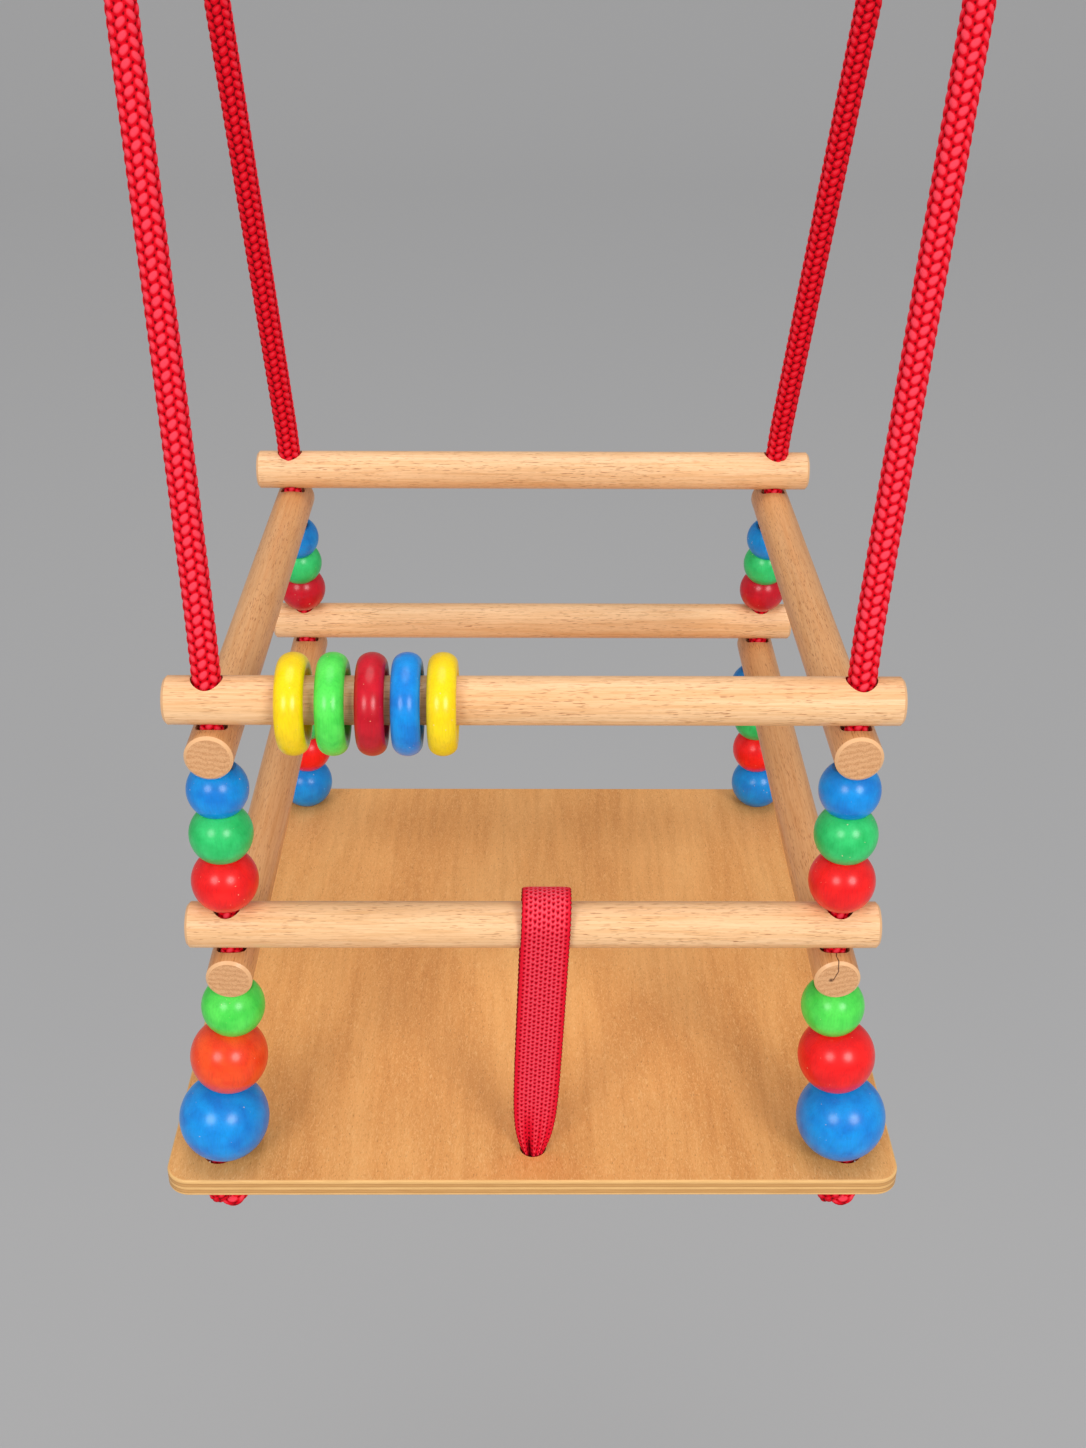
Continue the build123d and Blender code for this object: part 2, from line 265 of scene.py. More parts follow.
def braid(angle, along, pairs, pitch, radius):
    """Height of a braid's surface, 0 to 1, and the place across and along the strand on top."""
    columns = 2 * pairs
    column_width = 2 * math.pi * radius / columns
    cell = math.sqrt(column_width * pitch)
    half_length, half_width = crown_length * cell, crown_width * cell
    lean_sine, lean_cosine = math.sin(braid_slant), math.cos(braid_slant)
    place = angle / (2 * math.pi) * columns
    height = np.full(angle.shape, -9.0)
    across, lengthwise = np.zeros(angle.shape), np.zeros(angle.shape)
    # Each strand shows as a row of crowns, and the highest crown near a point is the one on top.
    for column_step in (-1, 0, 1):
        column = np.round(place) + column_step
        leans = np.where(column % 2 == 0, 1.0, -1.0)
        aside = (place - column) * column_width * leans
        row_start = (column % 2) * 0.5
        for row_step in (-1, 0, 1):
            row = np.round(along / pitch - row_start) + row_step
            above = along - (row + row_start) * pitch
            down_strand = (aside * lean_sine + above * lean_cosine) / half_length
            off_strand = (aside * lean_cosine - above * lean_sine) / half_width
            crown = 1 - np.abs(down_strand) ** 2.6 - np.abs(off_strand) ** 2.2
            on_top = crown > height
            height = np.where(on_top, crown, height)
            across = np.where(on_top, off_strand / 2 + 0.5, across)
            # Each crown reads its own stretch of yarn, so that no two look alike.
            lengthwise = np.where(on_top, down_strand / 2 + column * 3.1 + row * 1.7, lengthwise)
    return np.sqrt(np.clip(height * 0.95 + 0.05, 0, 1)), across, lengthwise


def store(piece, **layers):
    """Keep values on a mesh, one for each point, for its material to read."""
    for layer, values in layers.items():
        attribute = piece.data.attributes.new(layer, "FLOAT", "POINT")
        attribute.data.foreach_set("value", values.reshape(-1).astype(np.float32))


def braided_tube(
    name, line, radius, material, pairs, pitch, relief, columns, closed_line=False, squeeze=1.0
):
    """A braided rope along evenly spaced points, with each strand's relief in the mesh."""
    along = np.concatenate([[0], np.cumsum(np.linalg.norm(np.diff(line, axis=0), axis=1))])
    sides, ups = carried_frames(line)
    angle = np.linspace(0, 2 * math.pi, columns, endpoint=False)
    angles, alongs = np.meshgrid(angle, along)
    height, across, lengthwise = braid(angles, alongs, pairs, pitch, radius)
    reach = (radius - relief * (1 - height)) * np.broadcast_to(squeeze, along.shape)[:, None]
    rings = line[:, None] + reach[..., None] * (
        np.cos(angles)[..., None] * sides[:, None] + np.sin(angles)[..., None] * ups[:, None]
    )
    piece = skin(name, rings, material, closed_line)
    store(piece, crown=height, across=across, lengthwise=lengthwise)
    return piece


def put(material, kind, inputs=None, **settings):
    """Add a node to a material, with its settings and its inputs set or linked."""
    made = material.node_tree.nodes.new(kind)
    for key, value in settings.items():
        setattr(made, key, value)
    for key, value in (inputs or {}).items():
        if isinstance(value, bpy.types.NodeSocket):
            material.node_tree.links.new(value, made.inputs[key])
        else:
            made.inputs[key].default_value = value
    return made


def new_finish(name, roughness, **sockets):
    """A material with its shader's plain values set."""
    material = bpy.data.materials.new(name)
    material.use_nodes = True
    shader = material.node_tree.nodes["Principled BSDF"]
    shader.inputs["Roughness"].default_value = roughness
    for key, value in sockets.items():
        shader.inputs[key.replace("_", " ")].default_value = value
    return material, shader


white = (1.0, 1.0, 1.0)
no_share, full_share = (0.0, 0.0, 0.0, 1.0), (1.0, 1.0, 1.0, 1.0)      # a ramp's two ends


def ramp(material, factor, stops):
    """A colour ramp over a factor, from a list of places and colours."""
    made = put(material, "ShaderNodeValToRGB", {"Fac": factor})
    elements = made.color_ramp.elements
    while len(elements) < len(stops):
        elements.new(0.5)
    for element, (place, colour) in zip(elements, stops):
        element.position = place
        element.color = colour
    return made.outputs["Color"]


def blend_colour(material, factor, first, second, blend_type="MIX"):
    """Two colours mixed, or multiplied, as far as the factor says."""
    made = put(
        material, "ShaderNodeMix", {"Factor": factor, 6: first, 7: second},
        data_type="RGBA", blend_type=blend_type,
    )
    return made.outputs[2]


def tinted(material, weight, colour, factor, stops):
    """A colour multiplied by a ramp of plain tints, as far as the weight says."""
    stops = [(place, (*tint, 1.0)) for place, tint in stops]
    return blend_colour(material, weight, colour, ramp(material, factor, stops), "MULTIPLY")


def work_out(material, operation, *values):
    """One sum on sockets or plain numbers."""
    return put(material, "ShaderNodeMath", dict(enumerate(values)), operation=operation).outputs[0]


def object_place(material, output="Object"):
    """Each point's place on the object, in metres, or the way that its surface faces."""
    return put(material, "ShaderNodeTexCoord").outputs[output]


def stretched(material, place, scale=(1.0, 1.0, 1.0), shift=(0.0, 0.0, 0.0)):
    """A place scaled and then moved, for a texture to read."""
    inputs = {"Vector": place, "Scale": scale, "Location": shift}
    return put(material, "ShaderNodeMapping", inputs).outputs[0]


def noise(material, place, scale, detail, distortion=0.0):
    """Random clouds, 0 to 1; the larger the scale, the finer they are."""
    inputs = {"Vector": place, "Scale": scale, "Detail": detail, "Distortion": distortion}
    return put(material, "ShaderNodeTexNoise", inputs).outputs["Fac"]


def dress(material, shader, colour, height, strength, distance):
    """Give a shader its colour and the fine relief of its surface."""
    material.node_tree.links.new(colour, shader.inputs["Base Color"])
    inputs = {"Height": height, "Strength": strength, "Distance": distance}
    bump = put(material, "ShaderNodeBump", inputs)
    material.node_tree.links.new(bump.outputs[0], shader.inputs["Normal"])


def braided_red(name, gap_shade, body, crown, shine):
    """Bright polyester: painted shade between strands, painted sheen on crowns, fine yarn lines."""
    material, shader = new_finish(name, 0.6, Specular_IOR_Level=0.08)
    height, across, lengthwise = (
        put(material, "ShaderNodeAttribute", attribute_name=layer).outputs["Fac"]
        for layer in ("crown", "across", "lengthwise")
    )
    strand = put(material, "ShaderNodeCombineXYZ", {"X": across, "Y": lengthwise}).outputs[0]
    yarns = noise(material, stretched(material, strand, (22.0, 1.6, 1.0)), 1.0, 2.0)
    fuzz = noise(material, object_place(material), 2600.0, 2.0)
    # Painted light: crowns are painted palest where they face up and deepest red where they turn
    # under.
    facing = put(material, "ShaderNodeSeparateXYZ", {"Vector": object_place(material, "Normal")})
    raised = work_out(material, "MULTIPLY", height, 0.82)
    lit = work_out(material, "MULTIPLY_ADD", facing.outputs["Z"], shine, raised)
    colour = ramp(material, lit, [(0.26, gap_shade), (0.46, body), (0.66, body), (0.9, crown)])
    colour = tinted(material, 0.55, colour, yarns, [(0.3, (0.74, 0.7, 0.7)), (0.7, white)])
    dress(material, shader, colour, blend_colour(material, 0.35, yarns, fuzz), 0.5, 0.0003)
    return material


# The rope's colours: painted shade between the strands, its own red, and a painted sheen on the
# crowns.
rope_finish = braided_red(
    "rope_finish", to_linear(132, 0, 12), to_linear(230, 2, 28), to_linear(255, 70, 88), 0.55
)
ropes = {}
for column, side in enumerate(("left", "right")):
    name = f"braided_rope_{side}"
    controls = [(point[column], point[2], point[3]) for point in rope_route]
    line, _ = even_steps(spline_line(name, controls), braid_step)
    in_frame = np.clip((hole_top - line[:, 2]) / hole_fade, 0, 1)
    rope = braided_tube(
        name, line, rope_diameter / 2, rope_finish, braid_pairs, braid_pitch, braid_relief,
        braid_columns, squeeze=1 - (1 - hole_squeeze) * in_frame,
    )
    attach(rope, "swing")
    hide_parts(f"rope_{side}")
    ropes[side] = (rope, controls, line)


# ---- Knots -------------------------------------------------------------------------------------
# Under the seat each rope ends in a stopper knot of its own braid. The load pulls it up hard
# against the board, so that its turns are squeezed into one another.

knot_radius, knot_lobe, knot_rise = 0.0037, 0.0020, 0.0052     # of the turn's line
knot_strand_radius = 0.0045
knot_pitch = 0.0042
knot_columns = 48              # mesh points round the strand
knot_step = 0.0005             # mesh step along it


def knot_line(middle, radius, lobe, rise, step):
    """A closed overhand turn round the given middle, its points a step apart."""
    angle = np.linspace(0, 2 * math.pi, 600)
    out = radius + lobe * np.cos(3 * angle)
    line = np.stack([out * np.cos(2 * angle), out * np.sin(2 * angle), rise * np.sin(3 * angle)], 1)
    line, _ = even_steps(line, step)
    return line[:-1] + np.array(middle)


for side in ("left", "right"):
    for place in ("front", "back"):
        low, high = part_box(f"knot_{place}_{side}")
        height = high.z - knot_rise - knot_strand_radius
        middle = ((low.x + high.x) / 2, (low.y + high.y) / 2, height)
        line = knot_line(middle, knot_radius, knot_lobe, knot_rise, knot_step)
        knot = braided_tube(
            f"stopper_knot_{place}_{side}", line, knot_strand_radius, rope_finish,
            braid_pairs, knot_pitch, braid_relief, knot_columns, closed_line=True,
        )
        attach(knot, "swing")
        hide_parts(f"knot_{place}_{side}")


# ---- Dowels ------------------------------------------------------------------------------------
# Beech rod, 20 mm thick, sanded, clear lacquered and chamfered at the ends. The dowels that run
# front to back are painted darker than the ones that run across, as painted shade.


def remap(material, value, low, high, start, end):
    """A value moved from one range to another, and held at its ends."""
    inputs = {"Value": value, "From Min": low, "From Max": high, "To Min": start, "To Max": end}
    return put(material, "ShaderNodeMapRange", inputs).outputs["Result"]


def cracked(material, colour, place, crack_x, knot_z, front_y):
    """A drying crack in a dowel's end: a line that wanders up from a pin knot and on along the top."""
    parts = put(material, "ShaderNodeSeparateXYZ", {"Vector": place})
    wander = noise(material, place, 160.0, 2.0)
    swing_out = work_out(material, "MULTIPLY_ADD", wander, 0.0022, crack_x - 0.0011)
    climb = work_out(material, "SUBTRACT", parts.outputs["Z"], knot_z)
    line_x = work_out(material, "ADD", swing_out, remap(material, climb, 0.0, 0.005, -0.0016, 0.0))
    off = work_out(material, "ABSOLUTE", work_out(material, "SUBTRACT", parts.outputs["X"], line_x))
    near = remap(material, off, 0.00010, 0.00030, 1.0, 0.0)
    above = work_out(material, "GREATER_THAN", climb, 0.0)
    ahead = work_out(material, "LESS_THAN", parts.outputs["Y"], front_y + 0.03)
    share = work_out(material, "MULTIPLY", work_out(material, "MULTIPLY", near, above), ahead)
    colour = blend_colour(material, share, colour, to_linear(84, 46, 24))
    knot_place = (crack_x - 0.0026, front_y, knot_z)
    to_knot = put(material, "ShaderNodeVectorMath", {0: place, 1: knot_place}, operation="DISTANCE")
    at_knot = remap(material, to_knot.outputs["Value"], 0.0004, 0.0013, 0.9, 0.0)
    return blend_colour(material, at_knot, colour, to_linear(84, 50, 30))


def beech(name, axis, pale, deep, seed, crack=None):
    """Beech with its grain along X or Y: soft bands, fine wavy lines and short brown flecks."""
    material, shader = new_finish(
        name, 0.5, Specular_IOR_Level=0.25, Coat_Weight=0.4, Coat_Roughness=0.24
    )
    place = object_place(material)

    def grain(along, across, detail, shift, distortion=0.0):
        scale = (along, across, across) if axis == "X" else (across, along, across)
        moved = (seed * 3.7 + shift, seed * 1.9, seed * 0.7)
        return noise(material, stretched(material, place, scale, moved), 1.0, detail, distortion)

    bands = grain(5.0, 110.0, 3.0, 0.0)
    lines = grain(24.0, 820.0, 3.0, 5.0, 0.7)
    hairs = grain(70.0, 2600.0, 2.0, 21.0)
    flecks = grain(190.0, 2700.0, 1.0, 9.0)
    patches = grain(30.0, 90.0, 2.0, 13.0)
    colour = ramp(material, bands, [(0.3, deep), (0.62, pale)])
    colour = tinted(material, 0.6, colour, lines, [(0.36, (0.86, 0.74, 0.58)), (0.56, white)])
    colour = tinted(material, 0.5, colour, hairs, [(0.35, (0.86, 0.80, 0.72)), (0.6, white)])
    # The flecks crowd in some patches of the wood and thin out in others.
    fleck_share = ramp(material, flecks, [(0.605, no_share), (0.68, full_share)])
    crowding = [(0.32, (0.2, 0.2, 0.2)), (0.58, (0.8, 0.8, 0.8))]
    fleck_share = tinted(material, 1.0, fleck_share, patches, crowding)
    colour = blend_colour(material, fleck_share, colour, to_linear(164, 96, 48))
    # The chamfer cuts across the grain and is paler; the end itself is darker, with bent rings.
    normal = put(material, "ShaderNodeSeparateXYZ", {"Vector": object_place(material, "Normal")})
    facing = work_out(material, "ABSOLUTE", normal.outputs[axis])
    at_rim = ramp(material, facing, [(0.4, no_share), (0.6, full_share)])
    colour = blend_colour(material, at_rim, colour, to_linear(232, 180, 130))
    at_end = ramp(material, facing, [(0.93, no_share), (0.97, full_share)])
    pith = (0.03 + 0.004 * seed, 0.0, 0.045 - 0.006 * seed)
    waves = {
        "Vector": stretched(material, place, shift=pith), "Scale": 120.0, "Distortion": 7.0,
        "Detail": 5.0, "Detail Scale": 2.6, "Detail Roughness": 0.72,
    }
    rings = put(material, "ShaderNodeTexWave", waves, wave_type="RINGS", rings_direction=axis)
    pores = noise(material, place, 1900.0, 2.0)
    end_colour = ramp(material, rings.outputs["Fac"], [
        (0.0, to_linear(205, 149, 101)),
        (0.5, to_linear(214, 160, 111)),
        (1.0, to_linear(220, 167, 119)),
    ])
    end_colour = tinted(material, 0.7, end_colour, pores, [(0.36, (0.78, 0.70, 0.62)), (0.5, white)])
    colour = blend_colour(material, at_end, colour, end_colour)
    if crack:
        colour = cracked(material, colour, place, *crack)
    dress(material, shader, colour, lines, 0.2, 0.0002)
    return material


def refinish(node, material):
    """Give a CAD piece its real finish."""
    piece = frame["nodes"][node]
    piece.data.materials.clear()
    piece.data.materials.append(material)


# The way each dowel lies, and its wood's pale and deep colours. The front-to-back dowels get
# darker colours, as painted shade.
cross_wood = ("X", to_linear(248, 204, 156), to_linear(238, 186, 134))
shaded_side_wood = ("Y", to_linear(228, 172, 118), to_linear(216, 156, 102))
dowel_seed = 0
for level in ("upper", "lower"):
    for place in ("front", "back", "left", "right"):
        dowel_seed += 1            # so that no two dowels have the same grain
        node = f"rail_{level}_{place}"
        crack = None
        if node == "rail_lower_right":
            low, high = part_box(node)
            crack = ((low.x + high.x) / 2 - 0.0003, low.z + 0.0105, low.y)
        wood = cross_wood if place in ("front", "back") else shaded_side_wood
        refinish(node, beech(f"beech_{level}_{place}", *wood, dowel_seed, crack))


# ---- Seat --------------------------------------------------------------------------------------
# A square board of five-ply, with rounded corners. Its face veneer is tan with the grain from
# front to back, and the plies show along its edges.

plies = 5
glue_line = 0.04               # a share of the board's thickness


def make_plywood():
    """Lacquered five-ply: a tan face with streaks, curled fibres and pores, and striped edges."""
    material, shader = new_finish("plywood", 0.55, Specular_IOR_Level=0.35)
    place = object_place(material)

    def grain(scale, detail, distortion=0.0):
        return noise(material, stretched(material, place, scale), 1.0, detail, distortion)

    clouds = grain((24.0, 5.0, 1.0), 4.0, 0.7)
    streaks = grain((210.0, 16.0, 1.0), 4.0, 0.5)
    fibres = grain((1000.0, 260.0, 1.0), 3.0, 2.0)
    pores = grain((1500.0, 420.0, 1.0), 1.0)
    colour = ramp(material, clouds, [
        (0.26, to_linear(218, 148, 80)),
        (0.5, to_linear(234, 167, 97)),
        (0.74, to_linear(243, 181, 111)),
    ])
    colour = tinted(material, 0.7, colour, streaks, [(0.3, (0.86, 0.80, 0.73)), (0.62, white)])
    fibre_share = ramp(material, fibres, [(0.52, no_share), (0.72, (0.62, 0.62, 0.62, 1))])
    colour = blend_colour(material, fibre_share, colour, to_linear(250, 200, 136))
    colour = tinted(material, 0.6, colour, fibres, [(0.28, (0.78, 0.70, 0.60)), (0.44, white)])
    colour = tinted(material, 0.6, colour, pores, [(0.24, (0.55, 0.45, 0.36)), (0.36, white)])
    # Down the edge: five plies with a brown glue line between each two.
    height = put(material, "ShaderNodeSeparateXYZ", {"Vector": place}).outputs["Z"]
    share = remap(material, height, seat_low.z, seat_top, 0.0, 1.0)
    pale, cross, glue = to_linear(232, 184, 118), to_linear(206, 154, 92), to_linear(156, 94, 40)
    stops = [(0.0, pale)]
    for ply in range(1, plies):
        line = ply / plies
        below, above = (pale, cross) if ply % 2 else (cross, pale)
        stops += [(line - glue_line / 2, below), (line, glue), (line + glue_line / 2, above)]
    edge = ramp(material, share, stops)
    edge_fibres = grain((90.0, 90.0, 1400.0), 2.0)
    edge = tinted(material, 0.4, edge, edge_fibres, [(0.35, (0.8, 0.72, 0.62)), (0.6, white)])
    from_middle = work_out(material, "ABSOLUTE", work_out(material, "SUBTRACT", share, 0.5))
    on_face = work_out(material, "GREATER_THAN", from_middle, 0.496)
    dress(material, shader, blend_colour(material, on_face, edge, colour), streaks, 0.2, 0.0003)
    return material


refinish("seat_board", make_plywood())


# ---- Beads -------------------------------------------------------------------------------------
# Turned beech balls with a bore and a flat at each mouth, dyed and lacquered. They keep the
# dowels apart, and each turns freely on its rope.

bead_bore = 0.013
bead_flat = 0.0165
bead_mouth_round = 0.0006
bead_edge_round = 0.0009
bead_columns = 72              # mesh points round a bead
ball_rows, round_rows = 24, 6  # mesh points up half of its ball, and across each small round


def lacquer(name, colour, deep, seed):
    """Gloss paint over wood: clouded, with the grain showing faintly and a few tiny chips."""
    material, shader = new_finish(
        name, 0.45, Specular_IOR_Level=0.1, Coat_Weight=0.6, Coat_Roughness=0.24
    )
    place = stretched(material, object_place(material), shift=(seed * 0.31, seed * 0.17, seed * 0.07))
    clouds = noise(material, place, 120.0, 4.0)
    grain = noise(material, stretched(material, place, (1400.0, 1400.0, 160.0)), 1.0, 2.0)
    chips = noise(material, place, 700.0, 1.0)
    ripples = noise(material, place, 420.0, 3.0)
    mixed = ramp(material, clouds, [(0.35, deep), (0.62, colour)])
    mixed = tinted(material, 0.35, mixed, grain, [(0.32, (0.72, 0.72, 0.72)), (0.55, white)])
    chip_share = ramp(material, chips, [(0.77, no_share), (0.80, (0.6, 0.6, 0.6, 1))])
    mixed = blend_colour(material, chip_share, mixed, to_linear(235, 205, 165))
    dress(material, shader, mixed, ripples, 0.22, 0.0006)
    return material


# Each paint: the colour of most of the coat, and of the places where it lies thicker.
paints = {
    "blue": ((0, 148, 232), (0, 122, 212)),
    "green": ((52, 208, 114), (30, 186, 94)),
    "bright_green": ((92, 232, 88), (66, 212, 72)),
    "red": ((250, 22, 20), (232, 8, 14)),
    "dark_red": ((206, 4, 34), (186, 0, 26)),
    "orange": ((250, 82, 26), (240, 60, 18)),
    "yellow": ((255, 220, 2), (250, 208, 0)),
}
lacquers = {
    paint: lacquer(f"lacquer_{paint}", to_linear(*colour), to_linear(*deep), seed)
    for seed, (paint, (colour, deep)) in enumerate(paints.items(), 1)
}


def bead_paint(node):
    """The paint of a bead. Most beads are named after it, and the record's slots are too."""
    colour = node.rsplit("_", 1)[1]
    if colour == "sky":
        return "blue"
    if colour == "orange" and "right" in node:
        return "red"
    if colour == "green" and "lower_front" in node:
        return "bright_green"
    if colour == "red" and "upper_back" in node:
        return "dark_red"
    return colour


def arc_points(middle, radius, start, end, count):
    """Points of a circular arc in a profile: distance from the bore's axis, and height."""
    angles = [start + (end - start) * i / (count - 1) for i in range(count)]
    return [(middle[0] + radius * math.cos(a), middle[1] + radius * math.sin(a)) for a in angles]


def bead_profile(diameter):
    """Half of a bead's section: bore, rounded mouths, flats and ball, from the bottom up."""
    radius = diameter / 2
    half_height = math.sqrt(radius**2 - (bead_flat / 2) ** 2)
    # The ball meets the flat in a small round that touches both.
    edge_height = half_height - bead_edge_round
    edge_out = math.sqrt((radius - bead_edge_round) ** 2 - edge_height**2)
    meets = math.atan2(edge_height, edge_out)
    mouth = (bead_bore / 2 + bead_mouth_round, half_height - bead_mouth_round)
    edge = (edge_out, edge_height)
    upper = arc_points((0, 0), radius, 0, meets, ball_rows)
    upper += arc_points(edge, bead_edge_round, meets, math.pi / 2, round_rows)[1:]
    upper += arc_points(mouth, bead_mouth_round, math.pi / 2, math.pi, round_rows)
    lower = [(out, -height) for out, height in upper[1:]]
    return lower[::-1] + upper


def turned(name, profile, middle, axis, material, columns):
    """A piece turned on a lathe: its profile spun round an axis through its middle."""
    angle = np.linspace(0, 2 * math.pi, columns, endpoint=False)
    rings = np.array([
        [(out * math.cos(a), out * math.sin(a), height) for a in angle] for out, height in profile
    ])
    place = np.array(Vector((0, 0, 1)).rotation_difference(Vector(axis)).to_matrix())
    rings = rings @ place.T + np.array(middle)
    return skin(name, rings, material, closed_line=True)


for joint in frame["joints"]:
    node = joint["child"]
    if not node.startswith("bead_"):
        continue
    low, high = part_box(node)
    paint = bead_paint(node)
    bead = turned(
        node.replace("bead", "turned_bead"), bead_profile(high.x - low.x), joint["pos_m"],
        joint["axis"], lacquers[paint], bead_columns,
    )
    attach(bead, node)
    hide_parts(node)


# ---- Play rings --------------------------------------------------------------------------------
# Five turned wooden rings, painted like the beads. They are threaded on the upper front bar
# before its ropes are, and slide and turn on it.

for ring, paint in (
    ("yellow_outer", "yellow"), ("green", "bright_green"), ("red", "dark_red"),
    ("blue", "blue"), ("yellow_inner", "yellow"),
):
    refinish(f"play_ring_{ring}", lacquers[paint])


# ---- Crotch strap ------------------------------------------------------------------------------
# A knitted polyester band, 21 mm wide, folded over the lower front bar. Its two layers lie
# together below the bar, are gathered into one hole in the seat and end in a knot under it.

strap_width = 0.021
strap_thickness = 0.0017
strap_loop_radius = 0.0122
strap_loop_rise = 0.004        # the loop's middle above the bar's middle
strap_lean = 0.005             # the loop has slipped this far to the right
strap_join = 0.046             # the layers lie together below this height over the seat
strap_arc_steps = 24
strap_step = 0.00034           # mesh step along the band
strap_wales = 11               # rows of stitches across it
strap_course = 0.0024          # from one stitch to the next along a row
strap_relief = 0.0005
strap_eye = (0.27, 0.25)       # a gap between stitches, in shares of a row and of a course
strap_mouth_share = 0.46       # how much of its width the band keeps at its hole
strap_gather_height = 0.0115   # how quickly it narrows above the hole
strap_bulge = 0.0021           # how far the gathered cloth swells
strap_crease = 0.0030          # and how deep it folds
strap_mouth = 0.0056           # the gathered band's reach from the middle of its hole
strap_face_columns, strap_back_columns = 92, 30

bar_low, bar_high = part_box("rail_lower_front")
bar_middle = (bar_low + bar_high) / 2
strap_knot_low, strap_knot_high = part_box("crotch_strap_knot")
strap_foot = (strap_knot_low + strap_knot_high) / 2
loop_height = bar_middle.z + strap_loop_rise - seat_top


def strap_path():
    """The band's middle line as depth and height over the seat: up the front and down the back."""
    rise = loop_height - strap_join
    drift = bar_middle.y - strap_foot.y
    reach = math.hypot(rise, drift)
    half_angle = math.asin(strap_loop_radius / reach)
    heading = math.atan2(drift, rise)
    front = [(-0.0024, seat_low.z - seat_top - 0.002), (-0.0021, 0.0), (-0.0018, 0.006)]
    front += [(-0.0013, 0.018), (-0.0010, 0.030), (-0.0010, strap_join)]
    # The arc starts where the front layer touches it and ends where the back layer does.
    start = math.pi + half_angle - heading
    end = -half_angle - heading
    arc = []
    for step in range(strap_arc_steps + 1):
        angle = start + (end - start) * step / strap_arc_steps
        depth, height = strap_loop_radius * math.cos(angle), strap_loop_radius * math.sin(angle)
        arc.append((drift + depth, loop_height + height))
    back = [(-depth, height) for depth, height in reversed(front)]
    points = np.array([(0.0, depth, height) for depth, height in front + arc + back])
    return even_steps(points, strap_step)


def stitches(across, along):
    """Height of a knitted face, 0 to 1, of plump stitches with a small eye between them, painted dark
    as shade.
    """
    wale = across * strap_wales
    nearest = np.round(wale)
    aside = wale - nearest
    course = along / strap_course + nearest % 2 * 0.5 - np.abs(aside) * 0.5
    course = course + 0.16 * np.sin(along * 640 + nearest * 2.1)       # no row is quite even
    in_course = course - np.round(course)
    eye = np.exp(-((aside / strap_eye[0]) ** 2) - (in_course / strap_eye[1]) ** 2)
    return 1 - eye, np.abs(aside) * 2, in_course + nearest * 3.0


def make_strap(material):
    """The band, with its stitches, its gathers and the fold down each layer at the hole."""
    line, along = strap_path()
    tangents = np.gradient(line, axis=0)
    tangents /= np.linalg.norm(tangents, axis=1)[:, None]
    outward = np.stack([np.zeros(len(line)), -tangents[:, 2], tangents[:, 1]], 1)
    height = line[:, 2]
    # The band narrows quickly just above its hole, and the cloth that has no room folds.
    gather = np.exp(-np.clip(height, 0, None) / strap_gather_height)
    share = 1 - (1 - strap_mouth_share) * gather
    front_side = along < along[-1] / 2
    outer = np.linspace(-1, 1, strap_face_columns)
    inner = np.linspace(1, -1, strap_back_columns)[1:-1]
    across = np.concatenate([outer, inner])
    face = np.concatenate([np.ones(len(outer)), -np.ones(len(inner))])
    edge = np.sqrt(np.clip(1 - np.abs(across) ** 7, 0, 1))
    stitch, leg, course = stitches((across[None] + 1) / 2, along[:, None])
    bulge = np.cos(across * math.pi / 2)[None] * gather[:, None] * strap_bulge
    crease_place = np.where(front_side, -0.30, 0.2)[:, None]
    crease_depth = np.clip(gather * 1.5 - 0.12, 0, 1)[:, None] * strap_crease
    crease = np.exp(-(((across[None] - crease_place) / 0.13) ** 2)) * crease_depth
    pleat_wave = np.sin(across * 16.0)[None]
    pleats = pleat_wave * gather[:, None] ** 1.5 * 0.00035
    relief = strap_relief * (stitch - 1) * (face > 0)[None] * edge[None]
    depth = face * strap_thickness / 2 * edge + bulge - crease + pleats + relief
    width = share * strap_width / 2 * (1 + 0.012 * np.cos(2 * math.pi * along / strap_course))
    lean = strap_lean * np.clip(height, 0, None) / loop_height
    rings = line[:, None] + outward[:, None] * depth[..., None]
    rings[..., 0] += across[None] * width[:, None] + lean[:, None]
    rings += np.array((strap_foot.x, strap_foot.y, seat_top))
    # Inside the hole the cloth keeps clear of the wood.
    middle = np.array((strap_foot.x, strap_foot.y))
    from_hole = np.linalg.norm(rings[..., :2] - middle, axis=-1)
    in_hole = (rings[..., 2] < seat_top + 0.0004) & (from_hole > strap_mouth)
    squeeze = np.where(in_hole, strap_mouth / np.maximum(from_hole, 1e-6), 1.0)
    rings[..., :2] = middle + (rings[..., :2] - middle) * squeeze[..., None]
    piece = skin("knitted_strap", rings, material)
    # Painted shade: the cloth is painted darker at its edges, in the fold and between the pleats.
    crown = stitch * (0.35 + 0.65 * edge)[None] * (1 - 0.75 * np.clip(crease / strap_crease, 0, 1))
    crown = crown * (1 - 0.5 * gather[:, None] * (0.5 - 0.5 * pleat_wave))
    store(piece, crown=crown, across=np.broadcast_to(leg, crown.shape), lengthwise=course)
    return piece, float(along[-1])


# The band's colours: painted shade between the stitches, its own red, and a painted sheen on the
# stitches.
strap_finish = braided_red(
    "strap_finish", to_linear(128, 0, 14), to_linear(232, 18, 46), to_linear(255, 96, 114), 0.06
)
strap, strap_length = make_strap(strap_finish)
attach(strap, "swing")
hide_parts("crotch_strap")

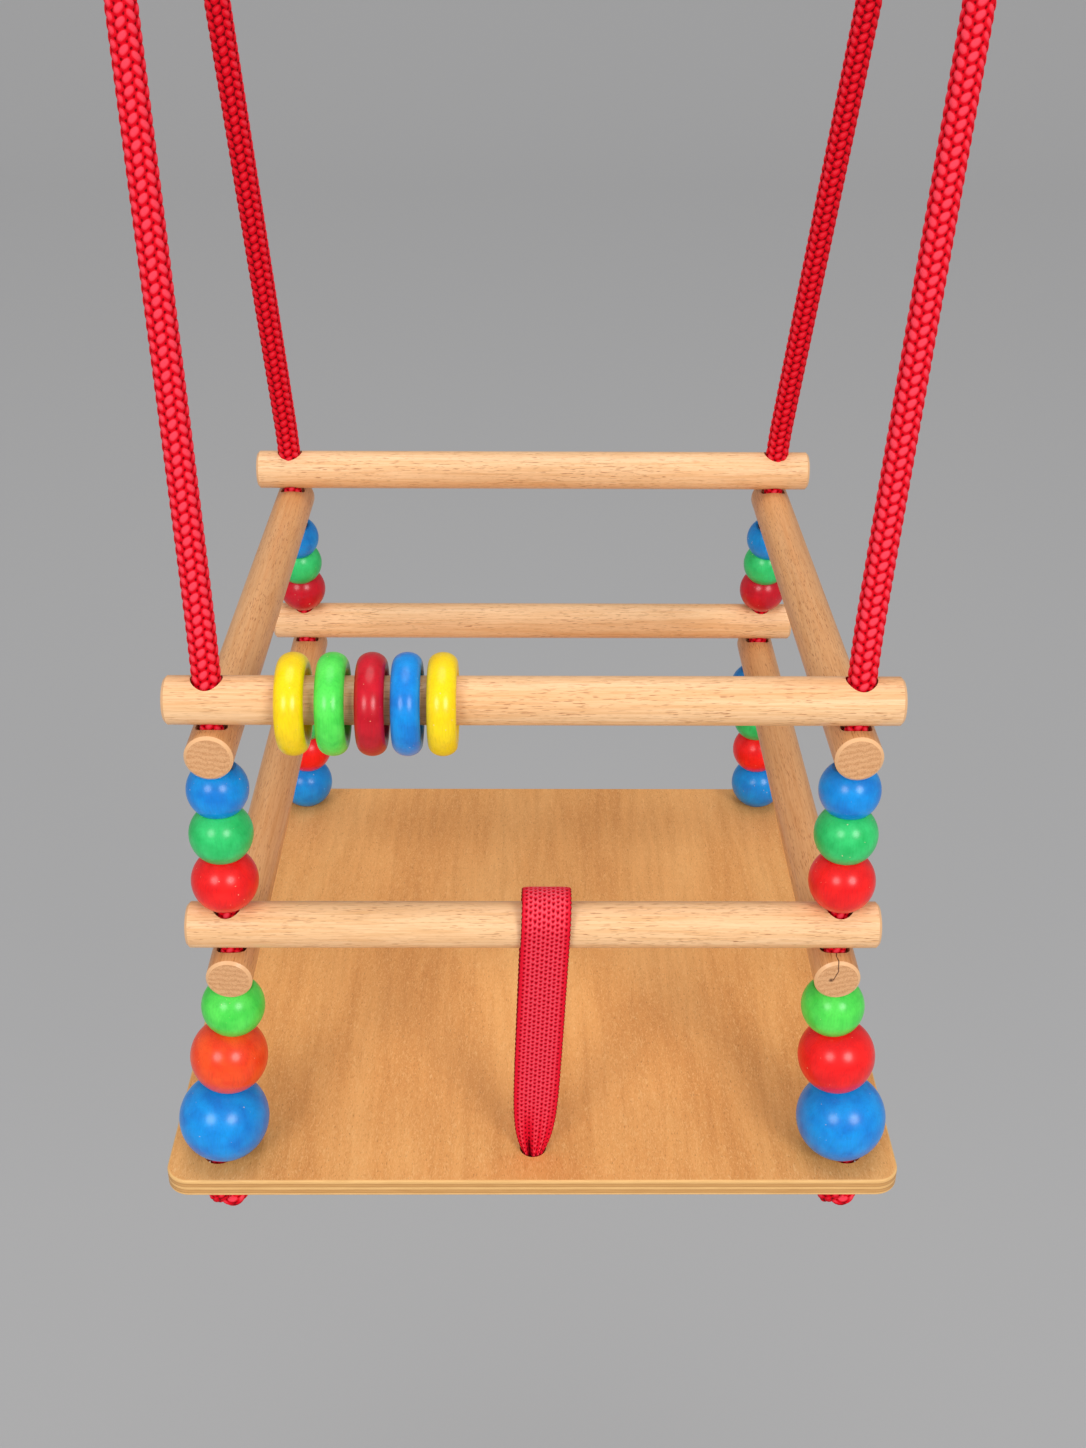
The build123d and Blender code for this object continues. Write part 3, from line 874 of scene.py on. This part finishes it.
strap_knot_radius, strap_knot_lobe, strap_knot_rise = 0.0042, 0.0020, 0.0022
strap_strand_radius = 0.0032   # of the band, bunched up in its knot
strap_strand_pairs, strap_strand_pitch, strap_strand_relief = 5, 0.0021, 0.0006
strap_strand_columns = 44
strap_knot_line = knot_line(
    strap_foot, strap_knot_radius, strap_knot_lobe, strap_knot_rise, knot_step
)
strap_knot = braided_tube(
    "strap_knot", strap_knot_line, strap_strand_radius, strap_finish, strap_strand_pairs,
    strap_strand_pitch, strap_strand_relief, strap_strand_columns, closed_line=True,
)
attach(strap_knot, "swing")
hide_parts("crotch_strap_knot")


# ---- Rings and whippings -----------------------------------------------------------------------
# Each rope hangs on a welded steel ring. Below the ring a tight binding of dark red twine holds
# the rope's two sides together.

steel, steel_shader = new_finish("steel", 0.32, Metallic=1.0)
steel_colour = ramp(steel, noise(steel, object_place(steel), 900.0, 3.0), [
    (0.35, to_linear(165, 165, 168)), (0.65, to_linear(205, 205, 208)),
])
steel.node_tree.links.new(steel_colour, steel_shader.inputs["Base Color"])
for side in ("left", "right"):
    refinish(f"hanging_ring_{side}", steel)

twine_radius = 0.00085
twine_turns = 17
twine_bite = 0.8               # the share of its radius by which it stands off the ropes
turn_steps = 48                # mesh points along each turn
twine_columns = 10             # and round the twine
# The points of rope_route at the whipping's foot and head, on the way up and on the way down.
whipping_foot, whipping_head = (7, 14), (8, 13)
twine, twine_shader = new_finish("twine", 0.6)
twine_colour = ramp(twine, noise(twine, object_place(twine), 1500.0, 2.0), [
    (0.3, to_linear(120, 6, 22)), (0.7, to_linear(176, 16, 36)),
])
twine.node_tree.links.new(twine_colour, twine_shader.inputs["Base Color"])


def whipping_line(side):
    """Twine wound round the two ropes, from below the whipping's foot to its top."""
    controls = ropes[side][1]
    foot, head = (
        (Vector(controls[rising]) + Vector(controls[falling])) / 2
        for rising, falling in (whipping_foot, whipping_head)
    )
    up = (head - foot).normalized()
    along_pair = Vector((0, 1, 0))
    outward = along_pair.cross(up)
    half_pair = abs(controls[whipping_foot[0]][1])
    radius = rope_diameter / 2 + twine_radius * twine_bite
    straight = 2 * half_pair
    perimeter = 2 * straight + 2 * math.pi * radius
    length = (head - foot).length - 2 * twine_radius
    points = []
    steps = twine_turns * turn_steps
    for step in range(steps + 1):
        share = step / steps
        reach = (share * twine_turns % 1) * perimeter
        if reach < straight:
            y, x = reach - half_pair, radius
        elif reach < straight + math.pi * radius:
            turn = (reach - straight) / radius
            y, x = half_pair + radius * math.sin(turn), radius * math.cos(turn)
        elif reach < 2 * straight + math.pi * radius:
            y, x = half_pair - (reach - straight - math.pi * radius), -radius
        else:
            turn = (reach - 2 * straight - math.pi * radius) / radius
            y, x = -half_pair - radius * math.sin(turn), -radius * math.cos(turn)
        points.append(foot + up * (twine_radius + share * length) + along_pair * y + outward * x)
    return np.array(points)


for side in ("left", "right"):
    line = whipping_line(side)
    sides, ups = carried_frames(line)
    angle = np.linspace(0, 2 * math.pi, twine_columns, endpoint=False)[:, None]
    spokes = np.cos(angle) * sides[:, None] + np.sin(angle) * ups[:, None]
    whipping = skin(f"twine_whipping_{side}", line[:, None] + twine_radius * spokes, twine)
    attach(whipping, "swing")
    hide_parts(f"whipping_{side}")
